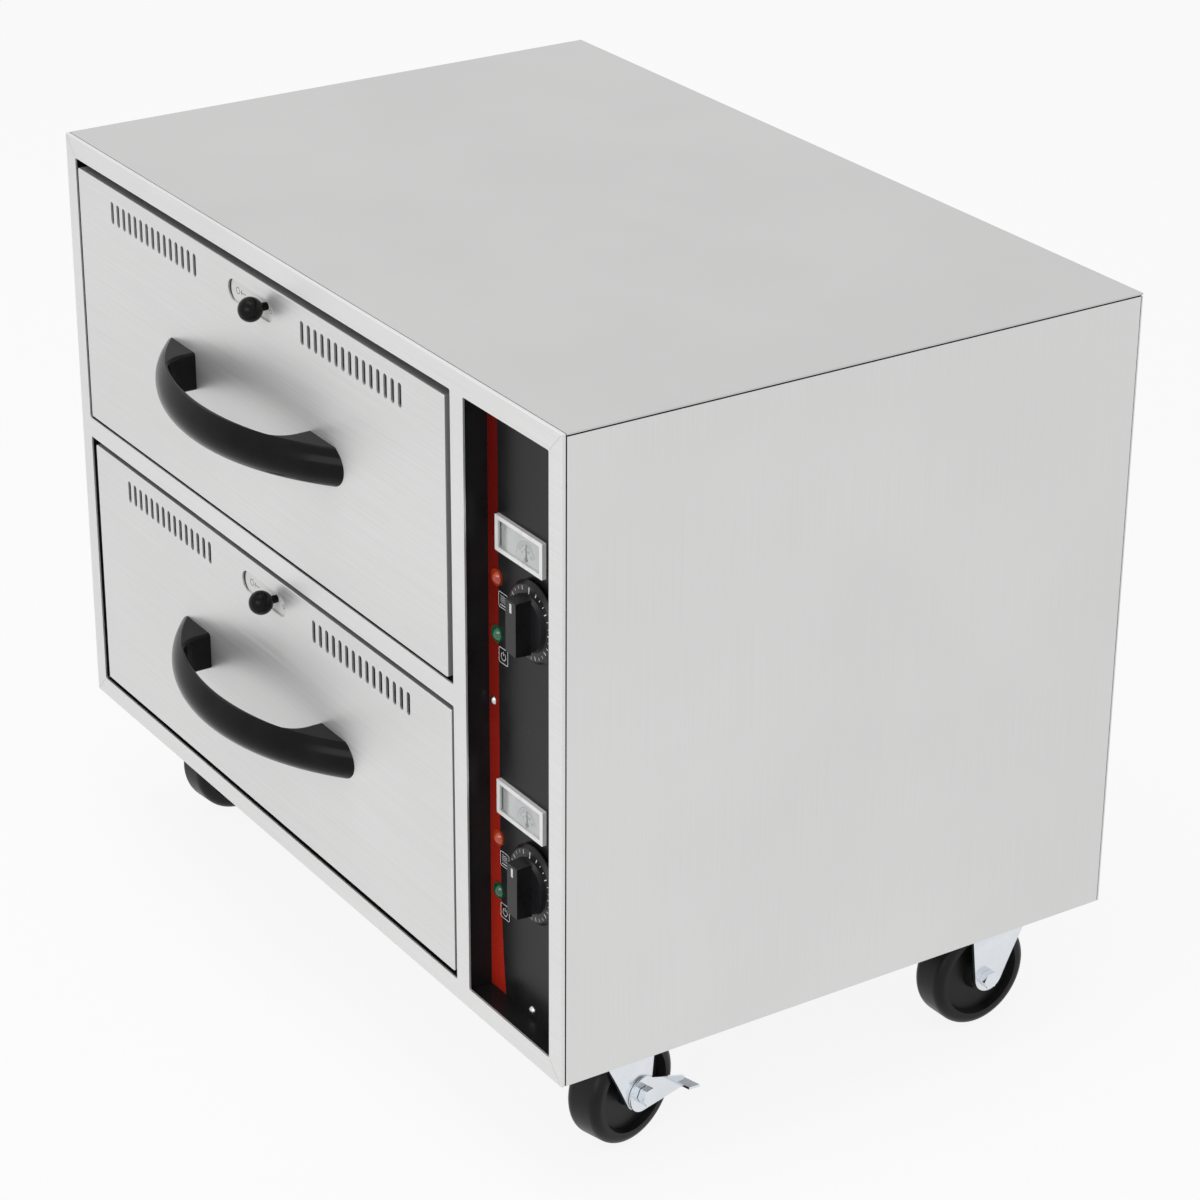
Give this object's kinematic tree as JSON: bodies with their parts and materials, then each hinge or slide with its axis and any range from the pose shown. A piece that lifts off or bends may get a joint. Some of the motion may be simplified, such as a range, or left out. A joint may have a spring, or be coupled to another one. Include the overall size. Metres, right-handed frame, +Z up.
{
  "type": "two-drawer food warming cabinet",
  "caption": "Free-standing food warming cabinet on swivel casters: flush drawers with bow handles and sliding vents, deep food pans, recessed control strip at the right.",
  "frame": {"origin": "on the floor, under the middle of the whole object's box", "axes": "+X to the right as seen from the drawers' side, +Y to the back, +Z up"},
  "size_m": [0.74, 0.567, 0.607],
  "materials": {
    "stainless_face": "brushed stainless, fine vertical grain",
    "stainless_skin": "brushed stainless",
    "inner_steel": "mill finish",
    "liner_steel": "aluminised sheet",
    "mineral_wool": "matt fibre",
    "element_sheath": "dark oxide",
    "clip_steel": "satin",
    "slide_zinc": "zinc plated",
    "pan_steel": "satin",
    "handle_black": "gloss",
    "vent_plate": "satin",
    "tray_black": "gloss",
    "knob_black": "satin skirt, gloss grip",
    "bezel_white": "gloss",
    "dial_grey": "matt",
    "lens_clear": "clear",
    "needle_black": "matt",
    "lamp_orange": "translucent",
    "lamp_green": "translucent",
    "switch_body": "moulded phenolic",
    "capillary_copper": "drawn tube",
    "terminal_ceramic": "ceramic",
    "gland_black": "moulded nylon",
    "screw_steel": "bright",
    "caster_zinc": "bright zinc plate",
    "wheel_rubber": "moulded"
  },
  "bodies": {
    "cabinet": {"front_frame": "stainless_face", "top_panel": "stainless_skin", "left_side_panel": "stainless_skin", "right_side_panel": "stainless_skin", "back_panel": "stainless_skin", "base_pan": "inner_steel", "divider_wall": "inner_steel", "upper_cavity_liner": "liner_steel", "lower_cavity_liner": "liner_steel", "insulation_slabs": "mineral_wool", "heating_elements": "element_sheath", "element_clips": "clip_steel", "fixed_slide_members": "slide_zinc", "control_tray": "tray_black", "thermometer_bezels": "bezel_white", "thermometer_dials": "dial_grey", "thermometer_lenses": "lens_clear", "heat_lamps": "lamp_orange", "power_lamps": "lamp_green", "thermostats": "switch_body", "thermostat_bulbs": "capillary_copper", "terminal_block": "terminal_ceramic", "cable_gland": "gland_black", "cabinet_screws": "screw_steel", "caster_top_plates": "caster_zinc", "caster_bolts": "screw_steel"},
    "lower_drawer": {"lower_drawer_front": "stainless_face", "lower_drawer_inner_panel": "inner_steel", "lower_drawer_frame": "inner_steel", "lower_food_pan": "pan_steel", "lower_handle": "handle_black", "lower_handle_screws": "screw_steel", "lower_drawer_slide_members": "slide_zinc"},
    "lower_mid_slides": {"lower_mid_slide_members": "slide_zinc"},
    "lower_vent_control": {"lower_vent_slider": "vent_plate", "lower_vent_knob": "handle_black"},
    "lower_knob": {"lower_thermostat_knob": "knob_black"},
    "lower_needle": {"lower_thermometer_needle": "needle_black"},
    "upper_drawer": {"upper_drawer_front": "stainless_face", "upper_drawer_inner_panel": "inner_steel", "upper_drawer_frame": "inner_steel", "upper_food_pan": "pan_steel", "upper_handle": "handle_black", "upper_handle_screws": "screw_steel", "upper_drawer_slide_members": "slide_zinc"},
    "upper_mid_slides": {"upper_mid_slide_members": "slide_zinc"},
    "upper_vent_control": {"upper_vent_slider": "vent_plate", "upper_vent_knob": "handle_black"},
    "upper_knob": {"upper_thermostat_knob": "knob_black"},
    "upper_needle": {"upper_thermometer_needle": "needle_black"},
    "front_left_fork": {"front_left_caster_fork": "caster_zinc"},
    "front_left_wheel": {"front_left_wheel": "wheel_rubber"},
    "front_right_fork": {"front_right_caster_fork": "caster_zinc"},
    "front_right_wheel": {"front_right_wheel": "wheel_rubber"},
    "rear_left_fork": {"rear_left_caster_fork": "caster_zinc"},
    "rear_left_wheel": {"rear_left_wheel": "wheel_rubber"},
    "rear_right_fork": {"rear_right_caster_fork": "caster_zinc"},
    "rear_right_wheel": {"rear_right_wheel": "wheel_rubber"},
    "front_left_brake": {"front_left_brake_lever": "caster_zinc"},
    "front_right_brake": {"front_right_brake_lever": "caster_zinc"}
  },
  "joints": [
    {"name": "lower_drawer_slide", "type": "slide", "parent": "cabinet", "child": "lower_drawer", "axis": [0, -1, 0], "range_m": [0, 0.37]},
    {"name": "lower_mid_slide", "type": "slide", "parent": "cabinet", "child": "lower_mid_slides", "axis": [0, -1, 0], "range_m": [0, 0.185]},
    {"name": "lower_vent_shift", "type": "slide", "parent": "lower_drawer", "child": "lower_vent_control", "axis": [1, 0, 0], "range_m": [0, 0.005]},
    {"name": "lower_thermostat_turn", "type": "hinge", "parent": "cabinet", "child": "lower_knob", "pos_m": [0.308, -0.2385, 0.2394], "axis": [0, 1, 0], "range_deg": [0, 270]},
    {"name": "lower_needle_swing", "type": "hinge", "parent": "cabinet", "child": "lower_needle", "pos_m": [0.2967, -0.2113, 0.2809], "axis": [0, 1, 0], "range_deg": [-50, 50]},
    {"name": "upper_drawer_slide", "type": "slide", "parent": "cabinet", "child": "upper_drawer", "axis": [0, -1, 0], "range_m": [0, 0.37]},
    {"name": "upper_mid_slide", "type": "slide", "parent": "cabinet", "child": "upper_mid_slides", "axis": [0, -1, 0], "range_m": [0, 0.185]},
    {"name": "upper_vent_shift", "type": "slide", "parent": "upper_drawer", "child": "upper_vent_control", "axis": [1, 0, 0], "range_m": [-0.005, 0]},
    {"name": "upper_thermostat_turn", "type": "hinge", "parent": "cabinet", "child": "upper_knob", "pos_m": [0.308, -0.2385, 0.444], "axis": [0, 1, 0], "range_deg": [0, 270]},
    {"name": "upper_needle_swing", "type": "hinge", "parent": "cabinet", "child": "upper_needle", "pos_m": [0.2967, -0.2113, 0.4855], "axis": [0, 1, 0], "range_deg": [-50, 50]},
    {"name": "front_left_swivel", "type": "hinge", "parent": "cabinet", "child": "front_left_fork", "pos_m": [-0.308, -0.1585, 0.1], "axis": [0, 0, 1], "continuous": true},
    {"name": "front_left_roll", "type": "hinge", "parent": "front_left_fork", "child": "front_left_wheel", "pos_m": [-0.31072, -0.13264, 0.044], "axis": [0.9945, 0.1045, 0], "continuous": true},
    {"name": "front_right_swivel", "type": "hinge", "parent": "cabinet", "child": "front_right_fork", "pos_m": [0.308, -0.1585, 0.1], "axis": [0, 0, 1], "continuous": true},
    {"name": "front_right_roll", "type": "hinge", "parent": "front_right_fork", "child": "front_right_wheel", "pos_m": [0.30127, -0.13339, 0.044], "axis": [0.9659, 0.2588, 0], "continuous": true},
    {"name": "rear_left_swivel", "type": "hinge", "parent": "cabinet", "child": "rear_left_fork", "pos_m": [-0.308, 0.2135, 0.1], "axis": [0, 0, 1], "continuous": true},
    {"name": "rear_left_roll", "type": "hinge", "parent": "rear_left_fork", "child": "rear_left_wheel", "pos_m": [-0.30438, 0.18775, 0.044], "axis": [-0.9903, -0.1392, 0], "continuous": true},
    {"name": "rear_right_swivel", "type": "hinge", "parent": "cabinet", "child": "rear_right_fork", "pos_m": [0.308, 0.2135, 0.1], "axis": [0, 0, 1], "continuous": true},
    {"name": "rear_right_roll", "type": "hinge", "parent": "rear_right_fork", "child": "rear_right_wheel", "pos_m": [0.30891, 0.18752, 0.044], "axis": [-0.9994, -0.0349, 0], "continuous": true},
    {"name": "front_left_brake_press", "type": "hinge", "parent": "front_left_fork", "child": "front_left_brake", "pos_m": [-0.31072, -0.13264, 0.044], "axis": [0.9945, 0.1045, 0], "range_deg": [-15, 0]},
    {"name": "front_right_brake_press", "type": "hinge", "parent": "front_right_fork", "child": "front_right_brake", "pos_m": [0.30127, -0.13339, 0.044], "axis": [0.9659, 0.2588, 0], "range_deg": [-15, 0]}
  ],
  "couplings": [
    {"joint": "lower_mid_slide", "follows": "lower_drawer_slide", "ratio": 0.5},
    {"joint": "upper_mid_slide", "follows": "upper_drawer_slide", "ratio": 0.5}
  ]
}
